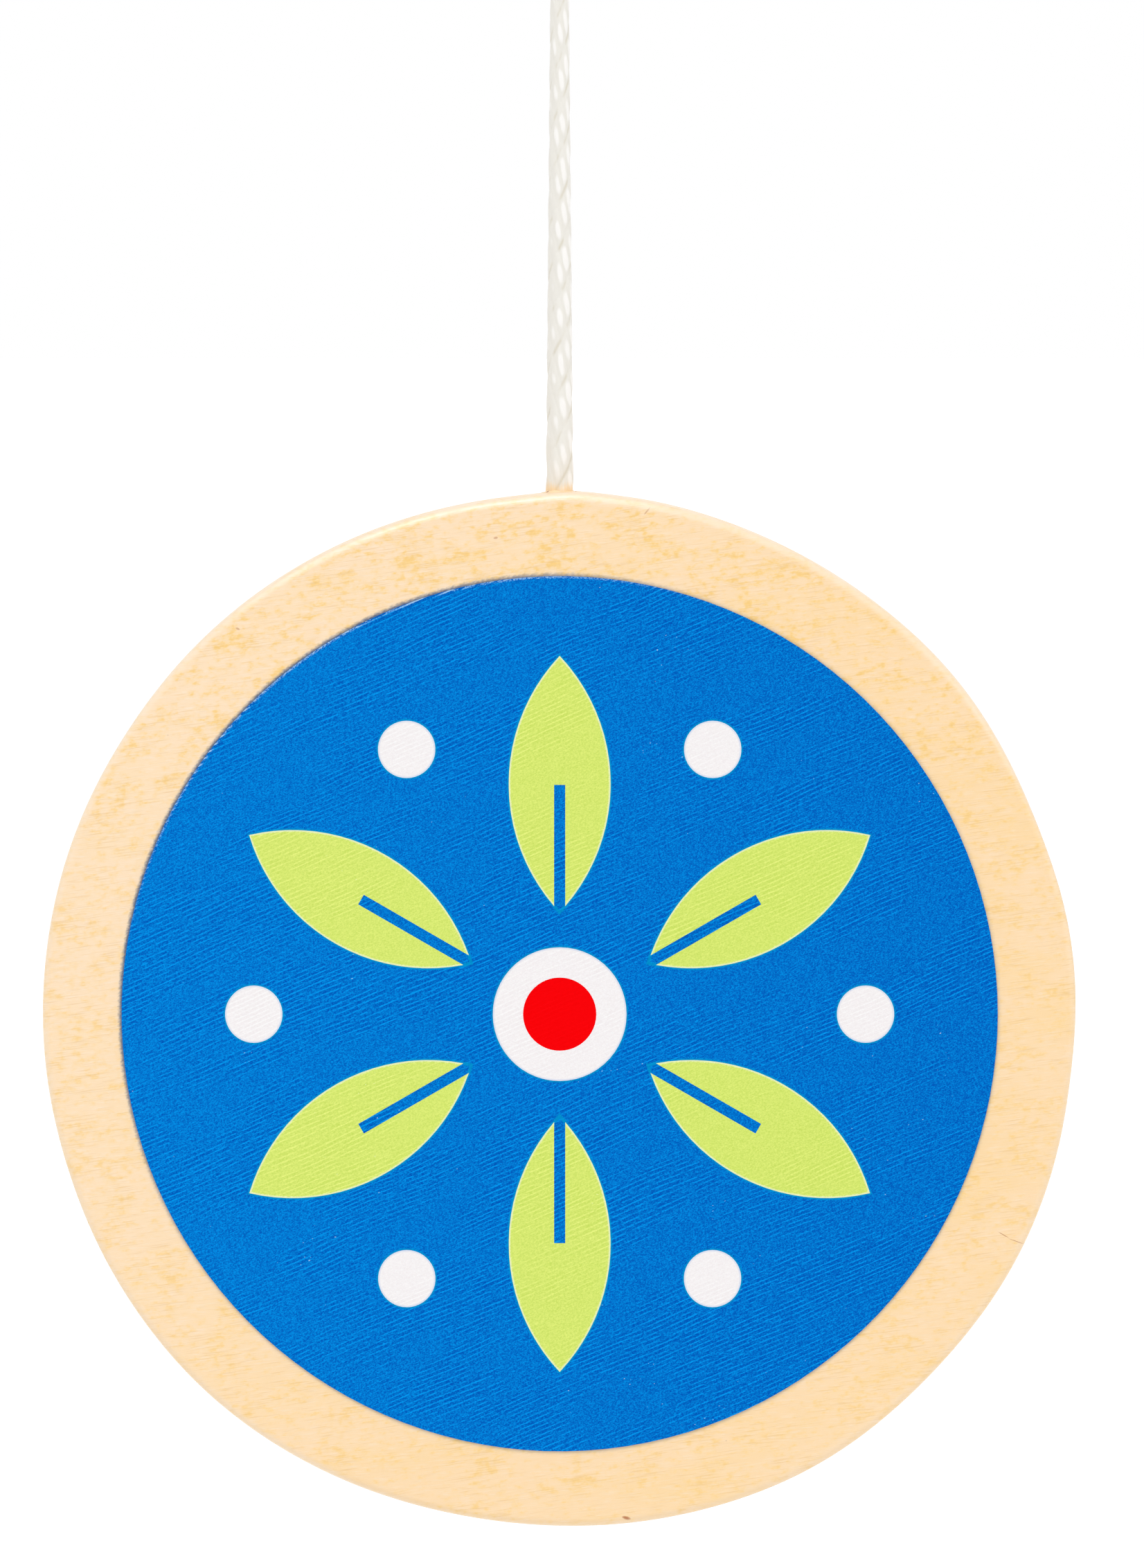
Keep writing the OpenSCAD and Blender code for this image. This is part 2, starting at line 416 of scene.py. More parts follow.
def makeDisc(s):
    n = s["around"]
    clock = np.arange(n) * 360 / n
    rim = rimRadius(s, clock)
    rows = []                                     # radius round each ring, and its depth, from front to back
    for share in s["faceRings"]:
        rows.append((share * (rim - s["edge"] - s["support"]), discHalf))
    for i in range(s["edgeSteps"] + 1):
        turn = math.pi / 2 * i / s["edgeSteps"]
        inset = s["edge"] * (1 - math.sin(turn)) + s["crown"]
        rows.append((rim - inset, discHalf - s["edge"] * (1 - math.cos(turn))))
    rows.append((rim - s["crown"] / 4, (discHalf - s["edge"]) / 2))         # half way up, a quarter in
    back = [(radius, -depth) for radius, depth in rows[::-1]]
    rows = rows + [(rim, 0.0)] + back
    turn = np.radians(clock)
    points = [(0, -discHalf, discZ)]
    for radius, depth in rows:
        points.extend(zip(radius * np.sin(turn), np.full(n, -depth), discZ + radius * np.cos(turn)))
    points.append((0, discHalf, discZ))
    last = len(points) - 1
    faces = []
    for k in range(n):
        m = (k + 1) % n
        faces.append((0, 1 + m, 1 + k))
        for i in range(len(rows) - 1):
            low, high = 1 + i * n, 1 + (i + 1) * n
            faces.append((low + k, low + m, high + m, high + k))
        faces.append((last, last - n + k, last - n + m))
    disc = addMesh("sanded_disc", points, faces)
    drillHole(s, disc)
    disc.data.shade_smooth()
    disc.data.set_sharp_from_angle(angle=math.radians(s["sharp"]))
    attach(disc, "disc")
    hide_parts("wood_disc")
    return disc


def drillHole(s, disc):
    top = rimZ + s["drillRise"]
    wide = holeRadius + s["holeGap"]
    drill = bmesh.new()
    bmesh.ops.create_cone(
        drill, cap_ends=True, segments=s["holeSides"], radius1=wide, radius2=wide,
        depth=top - plugLow.z, matrix=Matrix.Translation((0, 0, (top + plugLow.z) / 2)),
    )
    mesh = bpy.data.meshes.new("drill")
    drill.to_mesh(mesh)
    drill.free()
    tool = addPiece("drill", mesh)
    cut = disc.modifiers.new("hole", "BOOLEAN")
    cut.operation = "DIFFERENCE"
    cut.solver = "EXACT"
    cut.object = tool
    graph = bpy.context.evaluated_depsgraph_get()
    drilled = bpy.data.meshes.new_from_object(disc.evaluated_get(graph))
    disc.modifiers.clear()
    disc.data = drilled
    bpy.data.objects.remove(tool)


discPiece = makeDisc(discSet)
rimTop = discZ + float(rimRadius(discSet, 0))     # the sanded rim at the cord
print("disc made,", len(discPiece.data.polygons), "faces")


# Glue: it fills the hole and climbs the cord a little
glueSet = {
    "inner": 0.86,                                # share of the cord's radius, so that the yarns sink in
    "climb": 0.2 * mm,
    "hollow": 2.2,                                # power of the curve by which it climbs
    "unevenness": 0.08 * mm,
    "waves": [(0.5, 1, 0.6), (0.3, 3, 2.1), (0.2, 5, 0)],                   # share, times round, start
    "lip": 0.05 * mm,                             # how far below the rim it meets the wood
    "around": 64,
    "across": 8,
}


def makeGlue(s):
    n = s["around"]
    inner = cordSet["lowRadius"] * s["inner"]
    angle = np.arange(n) * 2 * np.pi / n
    wave = sum(share * np.sin(times * angle + start) for share, times, start in s["waves"])
    rows = [(holeRadius, np.full_like(angle, plugLow.z))]
    for i in range(s["across"] + 1):
        t = i / s["across"]
        rise = (s["climb"] + s["unevenness"] * wave) * t ** s["hollow"]
        rows.append((holeRadius + (inner - holeRadius) * t, rimTop - s["lip"] + rise))
    rows.append((inner, np.full_like(angle, plugLow.z)))
    points = []
    for radius, height in rows:
        points.extend(zip(radius * np.cos(angle), radius * np.sin(angle), height))
    faces = []
    for i in range(len(rows)):
        j = (i + 1) % len(rows)
        faces.extend((i * n + k, i * n + (k + 1) % n, j * n + (k + 1) % n, j * n + k) for k in range(n))
    piece = addMesh("glue_fillet", points, faces)
    piece.data.shade_smooth()
    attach(piece, "disc")
    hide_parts("glue_plug")
    return piece


gluePiece = makeGlue(glueSet)
print("glue made")


# Shader sockets that add up like numbers
def plug(tree, socket, value):
    if isinstance(value, Value):
        tree.links.new(value.socket, socket)
    else:
        socket.default_value = value


class Value:
    def __init__(self, tree, socket):
        self.tree = tree
        self.socket = socket

    def maths(self, operation, first, second):
        node = self.tree.nodes.new("ShaderNodeMath")
        node.operation = operation
        plug(self.tree, node.inputs[0], first)
        plug(self.tree, node.inputs[1], second)
        return Value(self.tree, node.outputs[0])

    def __add__(self, other):
        return self.maths("ADD", self, other)

    def __radd__(self, other):
        return self.maths("ADD", other, self)

    def __sub__(self, other):
        return self.maths("SUBTRACT", self, other)

    def __rsub__(self, other):
        return self.maths("SUBTRACT", other, self)

    def __mul__(self, other):
        return self.maths("MULTIPLY", self, other)

    def __rmul__(self, other):
        return self.maths("MULTIPLY", other, self)

    def __pow__(self, other):
        return self.maths("POWER", self, other)


def sway(noise, amount):                          # a noise that swings to both sides of nothing
    return amount * (noise - 0.5)


def paint(red, green, blue):                      # a colour as a photograph gives it, for a shader
    def linear(level):
        level = level / 255
        return level / 12.92 if level <= 0.04045 else ((level + 0.055) / 1.055) ** 2.4
    return (linear(red), linear(green), linear(blue), 1)


class Nodes:                                      # the nodes of one material, or of the world
    def __init__(self, tree):
        self.tree = tree

    def node(self, kind, settings, sockets, out=0):
        made = self.tree.nodes.new("ShaderNode" + kind)
        for key, value in settings.items():
            setattr(made, key, value)
        for key, value in sockets.items():
            plug(self.tree, made.inputs[key], value)
        return Value(self.tree, made.outputs[out])

    def seen(self):                               # 1 for what the camera, gloss or glass looks at
        kinds = ("Camera", "Glossy", "Transmission")
        rays = [self.node("LightPath", {}, {}, "Is " + kind + " Ray") for kind in kinds]
        return rays[0] + rays[1] + rays[2]


class Finish(Nodes):                              # one material being made from its settings
    def __init__(self, name, s):
        self.material = bpy.data.materials.new(name)
        self.material.use_nodes = True
        super().__init__(self.material.node_tree)
        self.s = s
        self.shader = self.tree.nodes["Principled BSDF"]
        for socket, value in s["shader"].items():
            self.shader.inputs[socket].default_value = value

    def maths(self, operation, *values):
        return self.node("Math", {"operation": operation}, dict(enumerate(values)))

    def place(self):
        return self.node("TexCoord", {}, {}, "Object")

    def apart(self, vector):
        split = self.node("SeparateXYZ", {}, {"Vector": vector}).socket.node
        return [Value(self.tree, socket) for socket in split.outputs]

    def grain(self, size, slope=0.0):             # places in steps of size, turned by a slope in the face
        turn = (0, -math.radians(slope), 0)
        return self.node("Mapping", {"vector_type": "TEXTURE"}, {
            "Vector": self.place(), "Rotation": turn, "Scale": [x * mm for x in size]})

    def noise(self, where, detail, roughness, seed=0.0):
        return self.node("TexNoise", {"noise_dimensions": "4D"}, {
            "Vector": where, "W": seed, "Scale": 1.0, "Detail": detail, "Roughness": roughness})

    def grains(self):                             # every noise of the settings, by name
        made = {}
        for name, (size, turn, detail, roughness, seed) in self.s["grains"].items():
            made[name] = self.noise(self.grain(size, self.s["slope"] + turn), detail, roughness, seed)
        return made

    def step(self, value, low, high):             # rises smoothly from 0 at low to 1 at high
        return self.node("MapRange", {"interpolation_type": "SMOOTHSTEP"}, {
            "Value": value, "From Min": low, "From Max": high})

    def rise(self, name, value):                  # a step of the settings
        return self.step(value, *self.s["steps"][name])

    def mix(self, share, first, second):
        return self.node("Mix", {"data_type": "RGBA"}, {0: share, 6: first, 7: second}, 2)

    def bump(self, height, depth):
        return self.node("Bump", {}, {"Height": height, "Distance": depth, "Strength": 1.0})

    def finish(self, links):
        for socket, value in links.items():
            plug(self.tree, self.shader.inputs[socket], value)
        return self.material


def dress(piece, material):
    if not piece.material_slots:
        piece.data.materials.append(material)
    for slot in piece.material_slots:
        slot.material = material


# Wood: pale, with short soft flecks and fine lines along the grain, under satin lacquer, and a paler rounded
# edge that carries a painted highlight at the top
woodSet = {
    "shader": {"Coat Roughness": 0.14, "Specular IOR Level": 0.15},
    "base": paint(254, 221.5, 177),
    "pale": paint(255, 233, 208),
    # the edge colour is partly sanded wood and partly a painted highlight at the top and painted light at the
    # foot
    "edge": paint(255, 236, 213),
    "fleck": paint(253, 213, 136),
    "core": paint(250, 201, 98),
    "line": paint(234, 189, 118),
    "speck": paint(150, 96, 52),
    "mark": paint(178, 98, 46),
    "fringe": paint(44, 88, 128),                 # ink that has run into the wood
    "slope": 7,                                   # degrees by which the grain rises to the right
    "grains": {                                   # size in mm, turn from the slope, detail, roughness, seed
        "fleck": ((0.52, 0.55, 0.28), 0, 2.0, 0.5, 0.0),
        "cluster": ((3.0, 2.5, 1.8), 0, 1.0, 0.5, 0.0),
        "pale": ((1.3, 0.6, 0.1), -2, 2.0, 0.6, 5.0),
        "line": ((1.6, 0.7, 0.06), 1, 1.0, 0.5, 9.0),
        "cloud": ((8, 4, 3), 0, 1.0, 0.5, 3.0),
        "ragged": ((0.22, 0.22, 0.12), 16.5, 1.0, 0.5, 17.0),
    },
    "steps": {                                    # where each of them rises from 0 to 1
        "fleck": (0.42, 0.70),
        "core": (0.58, 0.78),
        "pale": (0.48, 0.72),
        "line": (0.54, 0.74),
        "cloud": (0.4, 0.65),
        "speck": (0.007, 0.014),
        "mark": (0.1, 1.3),
        "paleSide": (-0.4, 1.0),
        "fleckSide": (0.1, 0.8),
        "fringe": (0.0, 0.3 * mm),
        "fringeSide": (0.2, 0.9),
        "edge": (discRadius - 0.6 * mm, discRadius - 0.2 * mm),
        "edgeHighlightTop": (0.1, 0.6),
        "edgeLightFoot": (0.9, 1.03),
        "back": (-1 * mm, 1 * mm),
        "flat": (discHalf - 0.5 * mm, discHalf - 0.3 * mm),
        "ring": (0.3, 1.0),
        "coat": (0.2, 0.55),
    },
    "shares": {
        "cloud": 0.25, "pale": 0.45, "paleSide": 0.42, "core": 0.75, "line": 0.38, "speck": 0.7, "ring": 0.3,
    },
    "fleckShare": (0.46, 0.24),                   # everywhere, and more at the top
    "fringeShare": (0.12, 0.78),                  # everywhere, and more on its own side
    "edgeShare": (0.2, 0.3, 0.3),                 # paler sanded edge everywhere, a painted highlight more at the top, and painted light more at the foot
    "sides": {                                    # right and up from the disc's middle
        "pale": (-0.85, 0.5),
        "fringe": (-0.8, 0.6),
        "top": (0, 1),
        "foot": (-0.3, -1),
    },
    "fleckSway": 0.45,                            # how much flecks and lines keep to clusters
    "lineSway": 0.3,
    "paleSway": 0.6,
    "fringeSway": 0.25 * mm,
    "markSway": 2,
    "ringSway": 1.2,
    "speckStep": 6,                               # mm
    "ringWidth": 1.4 * mm,
    "ringWander": 5,
    "pith": (46 * mm, -12 * mm),                  # middle of the year rings, behind the disc's middle and up
    "rough": (0.36, 0.12, 0.08),                  # everywhere, more on pale lines, and more on flecks
    "coat": (0.15, 0.5),                          # everywhere, and more on the faces
    "relief": (0.6, 0.4),                         # of flecks and lines
    "reliefDepth": 0.01 * mm,
    "marks": [                                    # right, up, half length, half width in mm, slope, share
        (27.9, -13.9, 0.4, 0.03, -30, 0.7), (28.7, -14.3, 0.6, 0.03, -20, 0.7),
        (4.2, -31.7, 0.3, 0.12, -15, 0.9), (3.9, 26.3, 0.1, 0.07, 80, 0.8), (5.5, 31.6, 0.3, 0.05, 50, 0.5),
        (-4.0, 29.9, 0.14, 0.07, 10, 0.5), (-20.2, 24.2, 0.16, 0.07, -20, 0.5),
    ],
}


def woodFinish(s):
    f = Finish("lacqueredWood", s)
    share = s["shares"]
    grain = f.grains()
    x, y, z = f.apart(f.place())
    z = z - discZ
    reach = (x * x + z * z) ** 0.5

    def toward(side, radius):                     # how far over to a side, as a share of the radius
        right, up = s["sides"][side]
        return (right * x + up * z) * (1 / radius)

    # Flecks, lines and specks
    gathered = grain["fleck"] + sway(grain["cluster"], s["fleckSway"])
    fleck = f.rise("fleck", gathered)
    pale = f.rise("pale", grain["pale"])
    paleSide = f.rise("paleSide", toward("pale", discRadius) + sway(grain["cloud"], s["paleSway"]))
    line = f.rise("line", grain["line"] + sway(grain["cluster"], s["lineSway"]))
    spots = f.node("TexVoronoi", {}, {"Vector": f.grain((s["speckStep"],) * 3), "Scale": 1.0})
    least, more = s["fleckShare"]
    flecky = least + more * f.rise("fleckSide", toward("top", discRadius))
    layers = (
        ("fleck", share["cloud"] * f.rise("cloud", grain["cloud"])),
        ("pale", share["pale"] * pale + share["paleSide"] * paleSide),
        ("fleck", fleck * flecky),
        ("core", share["core"] * f.rise("core", gathered) * flecky),
        ("line", share["line"] * line),
        ("speck", share["speck"] * (1 - f.rise("speck", spots))),
    )
    colour = s["base"]
    for tone, amount in layers:
        colour = f.mix(amount, colour, s[tone])

    # The print's fringe, and the few marks on the front
    away = reach - printRadius + sway(grain["ragged"], s["fringeSway"])
    least, more = s["fringeShare"]
    fringe = least + more * f.rise("fringeSide", toward("fringe", printRadius))
    colour = f.mix((1 - f.rise("fringe", away)) * fringe, colour, s["fringe"])
    front = 1 - f.rise("back", y)
    for right, up, long, wide, slope, amount in s["marks"]:
        cosine, sine = math.cos(math.radians(slope)), math.sin(math.radians(slope))
        aside, above = x - right * mm, z - up * mm
        along = (aside * cosine + above * sine) * (1 / (long * mm))
        across = (above * cosine - aside * sine) * (1 / (wide * mm))
        ragged = along * along + across * across + sway(grain["fleck"], s["markSway"])
        colour = f.mix(amount * (1 - f.rise("mark", ragged)) * front, colour, s["mark"])

    # The rounded edge, paler where sanded, with a painted highlight at the top and painted light at the foot,
    # and year rings on the sawn rim
    least, highlightAtTop, lightAtFoot = s["edgeShare"]
    edge = least + highlightAtTop * f.rise("edgeHighlightTop", toward("top", discRadius))
    edge = edge + lightAtFoot * f.rise("edgeLightFoot", toward("foot", discRadius))
    colour = f.mix(edge * f.rise("edge", reach), colour, s["edge"])
    flat = f.rise("flat", f.maths("ABSOLUTE", y))  # 0 on the rim
    fromPith = ((y - s["pith"][0]) ** 2 + (z - s["pith"][1]) ** 2) ** 0.5
    wave = f.maths("SINE", (2 * math.pi / s["ringWidth"]) * fromPith + s["ringWander"] * grain["cloud"])
    ring = f.rise("ring", wave + sway(grain["line"], s["ringSway"]))
    colour = f.mix(share["ring"] * (1 - flat) * ring, colour, s["line"])

    plain, onPale, onFleck = s["rough"]
    rough = plain + onPale * grain["pale"] + onFleck * fleck
    plain, onFace = s["coat"]
    coat = plain + onFace * flat * f.rise("coat", grain["cluster"])
    height = s["relief"][0] * grain["fleck"] + s["relief"][1] * grain["line"]
    normal = f.bump(height, s["reliefDepth"])
    return f.finish({"Base Color": colour, "Roughness": rough, "Coat Weight": coat, "Normal": normal})


# Inks: printed film with fine ribs that rise to the right, in bands, a granular surface and thin pale edges,
# painted shade that darkens them to the right, and on the blue's upper-left rim a painted highlight
rosetteSet = {                                    # sizes of the print in mm
    "leaves": 6,
    "leafStart": 6.4,
    "leafEnd": 22.5,
    "leafWidth": 6.4,
    "dotReach": 19.2,
    "dotRadius": 1.8,
    "ringRadius": 4.2,
}
inkSet = {
    "shader": {"Specular IOR Level": 0.01},
    "blue": {"dark": paint(0, 84, 182), "light": paint(3, 154, 240), "bareAndHighlight": paint(184, 218, 244),
             "edge": paint(0, 150, 205), "depth": 1.0},
    "green": {"dark": paint(197, 222, 93), "light": paint(239, 250, 138), "bareAndHighlight": paint(240, 248, 190),
              "edge": paint(240, 247, 205), "depth": 0.6},
    "white": {"dark": paint(241, 235, 236), "light": paint(255, 254, 254), "bareAndHighlight": paint(255, 250, 244),
              "edge": paint(214, 222, 240), "depth": 0.6},
    "red": {"dark": paint(247, 1, 5), "light": paint(255, 4, 12), "bareAndHighlight": paint(255, 120, 120),
            "edge": paint(255, 70, 80), "depth": 0.5},
    "slope": 23.5,                                # degrees by which the ribs rise to the right
    "grains": {                                   # size in mm, turn from the slope, detail, roughness, seed
        "grit": ((0.112, 0.07, 0.07), 0, 1.0, 0.6, 0.0),
        "wander": ((9, 9, 4), 0, 1.0, 0.5, 4.0),
        "broken": ((0.7, 0.7, 0.3), 0, 1.0, 0.5, 5.0),
        "band": ((8, 8, 3), 0, 1.0, 0.5, 7.0),
        "chip": ((0.16, 0.16, 0.1), 0, 0.0, 0.5, 11.0),
        "wearAndHighlight": ((6, 6, 3), 0, 1.0, 0.5, 13.0),
    },
    "steps": {                                    # where each of them rises from 0 to 1
        "rib": (0.2, 1.0),
        "broken": (0.36, 0.56),
        "band": (0.34, 0.6),
        "tone": (0.0, 1.0),
        "bareAndHighlight": (0.93, 0.97),
        "rimHighlightSide": (0.6, 1.0),
        "rimHighlightBreaks": (-0.3, 0.4),
    },
    "ribStep": 0.27,                              # distance between ribs, in mm
    "ribWander": 3.0,                             # in ribs
    "ribRise": 2.1,
    "ribSink": 0.6,                               # of the furrows between ribs
    "tone": 0.43,                                 # between dark and light
    "ribTone": 0.27,
    "gritTone": 1.5,
    "sideShade": 0.05,                             # painted shade: darker at the right, lighter at the left
    "wornSway": 0.6,
    "ribWear": 0.03,
    "bareShare": 0.8,
    "edgeLine": 0.09 * mm,
    "edgeRagged": (0.5, 1.2),                     # share of the line, and more where there is grit
    "edgeSoft": 0.5,                              # share of the line
    "edgeShare": 0.75,
    "rimHighlightFrom": (-0.5, 0.85),                      # the side, right and up, where the blue rim carries a painted highlight
    "rimHighlightSway": 2,
    "rimHighlightSoft": 0.7,
    "rimHighlightShare": 0.8,
    "rough": (0.5, 0.16),                         # everywhere, and more where there is grit
    "relief": (0.3, 0.7),                         # of ribs and grit
    "reliefDepth": 0.006 * mm,
}


def rosetteGaps(f, s):                            # distance from each outline of the print, in metres
    place = f.apart(f.place())
    x, z = place[0], place[2] - discZ
    reach = (x * x + z * z) ** 0.5
    half = math.pi / s["leaves"]
    turn = f.maths("PINGPONG", f.maths("ARCTAN2", x, z), half)

    def sidestep(angle, out):
        return f.maths("SINE", angle) * reach, f.maths("COSINE", angle) * reach - out * mm

    leafHalf = (s["leafEnd"] - s["leafStart"]) / 2
    arc = (leafHalf ** 2 + s["leafWidth"] ** 2 / 4) / s["leafWidth"]
    aside, along = sidestep(turn, s["leafStart"] + leafHalf)
    aside = aside + (arc - s["leafWidth"] / 2) * mm
    leaf = (aside * aside + along * along) ** 0.5 - arc * mm
    aside, along = sidestep(half - turn, s["dotReach"])
    dot = (aside * aside + along * along) ** 0.5 - s["dotRadius"] * mm
    ring = reach - s["ringRadius"] * mm
    rim = printRadius - reach
    return {"leaf": leaf, "dot": dot, "ring": ring, "rim": rim, "x": x, "z": z}


def inkFinish(name, s):
    f = Finish(name + "Ink", s)
    tones = s[name]
    grain = f.grains()
    grit = grain["grit"]
    height = f.apart(f.grain((s["ribStep"],) * 3, s["slope"]))[2]
    wave = f.maths("SINE", 2 * math.pi * (height + s["ribWander"] * grain["wander"]))
    ribs = s["ribRise"] * f.rise("rib", wave) - s["ribSink"]
    ribs = ribs * f.rise("broken", grain["broken"]) * f.rise("band", grain["band"])
    gaps = rosetteGaps(f, rosetteSet)
    # painted shade across the print: darker at the right, lighter at the left
    tone = s["ribTone"] * ribs + sway(grit, s["gritTone"]) - (s["sideShade"] / printRadius) * gaps["x"]
    colour = f.mix(f.rise("tone", s["tone"] + tones["depth"] * tone), tones["dark"], tones["light"])
    chips = grain["chip"] + sway(grain["wearAndHighlight"], s["wornSway"]) + s["ribWear"] * ribs
    colour = f.mix(s["bareShare"] * f.rise("bareAndHighlight", chips), colour, tones["bareAndHighlight"])
    least, more = s["edgeRagged"]
    ragged = s["edgeLine"] * (least + more * grit)

    def lineAlong(gap, share):                    # 1 next to an outline
        soft = share * s["edgeLine"]
        return 1 - f.step(gap - ragged, -soft, soft)

    near = [f.maths("ABSOLUTE", gaps[part]) for part in ("leaf", "dot", "ring")]
    nearest = f.maths("MINIMUM", f.maths("MINIMUM", near[0], near[1]), near[2])
    colour = f.mix(s["edgeShare"] * lineAlong(nearest, s["edgeSoft"]), colour, tones["edge"])
    # painted highlight along the blue's upper-left rim, in the bare ink's colour, broken up by ribs and grit
    if name == "blue":
        right, up = s["rimHighlightFrom"]
        facing = f.rise("rimHighlightSide", (right * gaps["x"] + up * gaps["z"]) * (1 / printRadius))
        wearAndHighlight = f.rise("rimHighlightBreaks", ribs + sway(grit, s["rimHighlightSway"]))
        inside = lineAlong(gaps["rim"], s["rimHighlightSoft"])
        colour = f.mix(s["rimHighlightShare"] * inside * facing * wearAndHighlight, colour, tones["bareAndHighlight"])
    plain, onGrit = s["rough"]
    height = s["relief"][0] * ribs + s["relief"][1] * grit
    return f.finish({
        "Base Color": colour, "Roughness": plain + onGrit * grit, "Normal": f.bump(height, s["reliefDepth"])})


# Cord: white laid yarn, with a painted highlight where a yarn tops its strand, painted shade in its grooves
# and painted light on its right side, stained by glue just above the rim
cordLook = {
    "shader": {"Specular IOR Level": 0.5, "Sheen Weight": 0.1},
    # painted highlight on the crests of the yarns
    "yarn": paint(255, 253, 250),
    "shade": paint(238, 235, 227),
    # painted shade in the grooves between strands
    "groove": paint(206, 196, 170),
    "stain": paint(254, 218, 158),
    "fibre": (5.5, 2.2, 4.0, 0.6),                # steps round, steps in a centimetre, detail, roughness
    "patch": (1, 6, 2.0, 0.5),
    "steps": {                                    # where each of them rises from 0 to 1
        "rightLit": (-0.9, 0.3),                     # painted light, rising from the left side to the right
        "yarn": (0.5, 0.9),
        "groove": (0.42, 0.62),
        "stain": (0.02, 0.1),                     # centimetres above the rim
    },
    "rightLit": 0.42,                                # painted light: the right side is whiter than the left
    "grey": 0.34,
    "crestHighlightSway": (0.4, 1.1),                       # by fibre, and by patch
    "crestHighlightShare": 0.82,
    "grooveShadeShare": 0.55,
    "stainSway": (0.14, 0.08),
    "stainShare": 0.75,
    "rough": (0.36, 0.15, 0.1),                   # everywhere, more in grooves, and more by fibre
    "reliefDepth": 0.02 * mm,
}


def cordFinish(s):
    f = Finish("laidCord", s)
    turn, along = f.apart(f.node("UVMap", {"uv_map": "ropeMap"}, {}))[:2]
    across = f.maths("COSINE", 2 * math.pi * turn)
    over = f.maths("SINE", 2 * math.pi * turn)

    def roundNoise(around, up, detail, roughness):  # it has no seam
        where = f.node("CombineXYZ", {}, {"X": around * across, "Y": around * over, "Z": up * along})
        return f.noise(where, detail, roughness)

    fibre = roundNoise(*s["fibre"])
    patch = roundNoise(*s["patch"])

    def bothSway(shares):
        return sway(fibre, shares[0]) + sway(patch, shares[1])

    crest =f.node("Attribute", {"attribute_name": "crest"}, {}, "Fac")
    groove = f.node("Attribute", {"attribute_name": "groove"}, {}, "Fac")
    # painted highlight where a yarn tops its strand, and painted light on the right side
    white = crest + s["rightLit"] * f.rise("rightLit", across) - s["grey"] + bothSway(s["crestHighlightSway"])
    colour = f.mix(s["crestHighlightShare"] * f.rise("yarn", white), s["shade"], s["yarn"])
    # painted shade in the grooves between strands
    colour = f.mix(s["grooveShadeShare"] * groove * f.rise("groove", patch), colour, s["groove"])
    stain = 1 - f.rise("stain", along + bothSway(s["stainSway"]))
    colour = f.mix(s["stainShare"] * stain, colour, s["stain"])
    plain, inGroove, byFibre = s["rough"]
    rough = plain + inGroove * groove + byFibre * fibre
    return f.finish({"Base Color": colour, "Roughness": rough, "Normal": f.bump(fibre, s["reliefDepth"])})


# Glue: pale and cloudy, with one speck of dirt at the cord's left foot
glueLook = {
    "shader": {"Coat Weight": 0.3, "Coat Roughness": 0.2},
    "deep": paint(250, 212, 158),
    "pale": paint(255, 230, 194),
    "dirt": paint(140, 42, 26),
    "slope": 0,
    "grains": {"cloud": ((0.4, 0.4, 0.4), 0, 2.0, 0.5, 0.0)},               # as in the wood
    "steps": {"dirt": (0.06 * mm, 0.12 * mm)},    # away from its middle
    "dirtAt": (-0.78 * mm, -0.55 * mm),           # x and y
    "rough": (0.3, 0.2),                          # everywhere, and more where it is pale
}


def glueFinish(s):
    f = Finish("paleGlue", s)
    cloud = f.grains()["cloud"]
    x, y = f.apart(f.place())[:2]
    away = ((x - s["dirtAt"][0]) ** 2 + (y - s["dirtAt"][1]) ** 2) ** 0.5
    colour = f.mix(cloud, s["deep"], s["pale"])
    colour = f.mix(1 - f.rise("dirt", away), colour, s["dirt"])
    return f.finish({"Base Color": colour, "Roughness": s["rough"][0] + s["rough"][1] * cloud})


dress(discPiece, woodFinish(woodSet))
for ink in ("blue", "green", "white", "red"):
    inkMaterial = inkFinish(ink, inkSet)
    for side in ("front", "back"):
        dress(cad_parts[side + "_" + ink + "_ink"], inkMaterial)
cordMaterial = cordFinish(cordLook)
for piece in cordPieces.values():
    dress(piece, cordMaterial)
dress(gluePiece, glueFinish(glueLook))
print("finishes made")


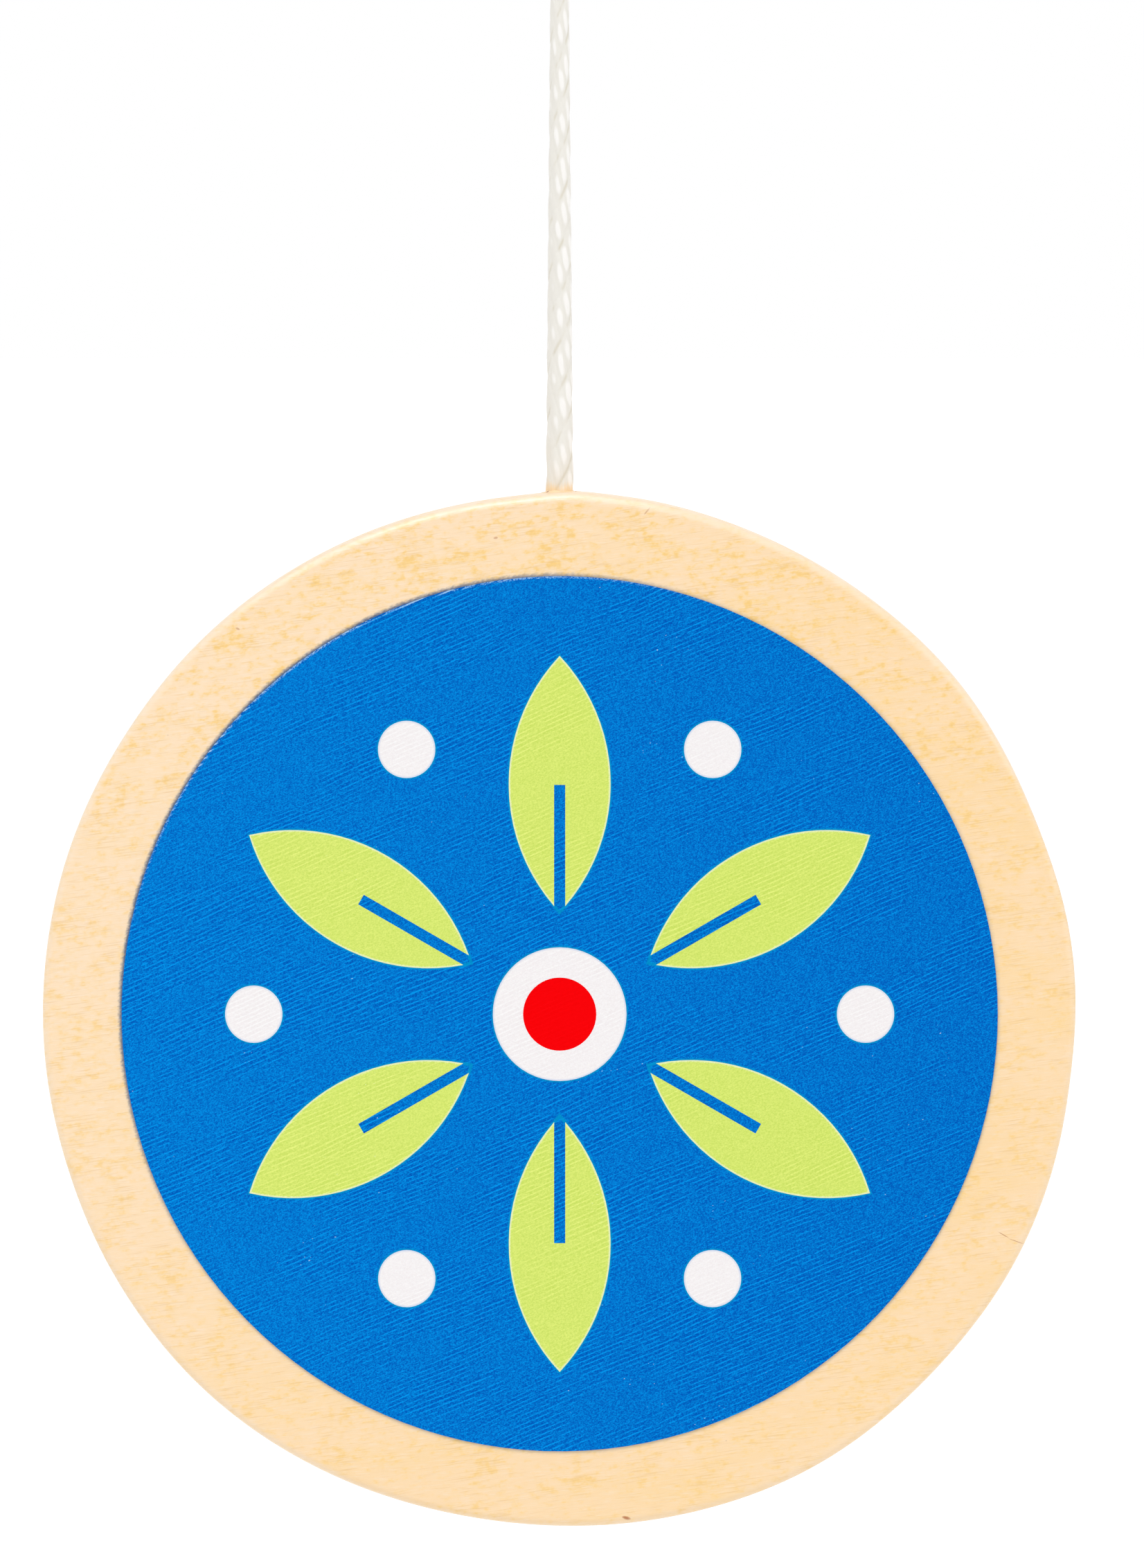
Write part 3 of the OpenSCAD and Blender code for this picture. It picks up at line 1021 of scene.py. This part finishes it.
# Studio: a pale floor, soft suns so that the floor is even, and a softbox that the lacquered edge reflects
studioSet = {
    "white": (1, 1, 1, 1),
    "sky": 0.745,                                 # share of the white sky that lights the disc
    "suns": [                                     # direction from, strength, softness in degrees
        ((-0.15, -0.5, 0.85), 0.8, 25),
        ((0.9, -0.35, 0.2), 0.35, 60),
    ],
    "softbox": {                                  # it only shows in gloss
        "place": (-0.1, -0.8, 0.5),               # from the disc's middle
        "lean": -22,                              # degrees from facing straight down
        "size": (0.5, 1.7),
        "power": 7.0,
    },
    "floor": {
        "shader": {"Base Color": (0.9, 0.9, 0.9, 1), "Roughness": 0.9, "Specular IOR Level": 0.0,
                   "Emission Strength": 0.3},
        "drop": 35 * mm,                          # below the disc
        "size": 12.0,
        "fill": (0.17, 0.17, 0.17, 1),            # share of the glow that lights the disc from below
    },
}


def makeSky(s):
    world = bpy.data.worlds.new("studio")
    bpy.context.scene.world = world
    world.use_nodes = True
    sky = Nodes(world.node_tree)
    sockets = world.node_tree.nodes["Background"].inputs
    plug(sky.tree, sockets["Color"], s["white"])
    plug(sky.tree, sockets["Strength"], s["sky"] + (1 - s["sky"]) * sky.seen())


def makeLamps(s):
    middle = Vector((0, 0, discZ))
    for number, (origin, strength, softness) in enumerate(s["suns"]):
        lamp = bpy.data.lights.new("sun" + str(number), "SUN")
        lamp.energy = strength
        lamp.angle = math.radians(softness)
        holder = addPiece(lamp.name, lamp)
        holder.location = middle + Vector(origin)
        holder.rotation_euler = (-Vector(origin)).to_track_quat("-Z", "Y").to_euler()
    box = s["softbox"]
    lamp = bpy.data.lights.new("softbox", "AREA")
    lamp.shape = "RECTANGLE"
    lamp.size, lamp.size_y = box["size"]
    lamp.energy = box["power"]
    holder = addPiece(lamp.name, lamp)
    holder.location = middle + Vector(box["place"])
    holder.rotation_euler = (0, math.radians(box["lean"]), 0)
    holder.visible_camera = False
    holder.visible_diffuse = False


def makeFloor(s, white):
    half = s["size"] / 2
    floorZ = discLow.z - s["drop"]
    corners = [(x * half, y * half, floorZ) for x, y in ((-1, -1), (1, -1), (1, 1), (-1, 1))]
    floor = addMesh("floor", corners, [(0, 1, 2, 3)])
    f = Finish("paleFloor", s)
    dress(floor, f.finish({"Emission Color": f.mix(f.seen(), s["fill"], white)}))
    back = f.node("NewGeometry", {}, {}, "Backfacing")                      # the floor is clear from below
    clear = f.node("BsdfTransparent", {}, {})
    both = f.node("MixShader", {}, {0: back, 1: Value(f.tree, f.shader.outputs[0]), 2: clear})
    plug(f.tree, f.tree.nodes["Material Output"].inputs["Surface"], both)


bpy.context.scene.view_settings.view_transform = "Standard"
makeSky(studioSet)
makeLamps(studioSet)
makeFloor(studioSet["floor"], studioSet["white"])
print("studio made")
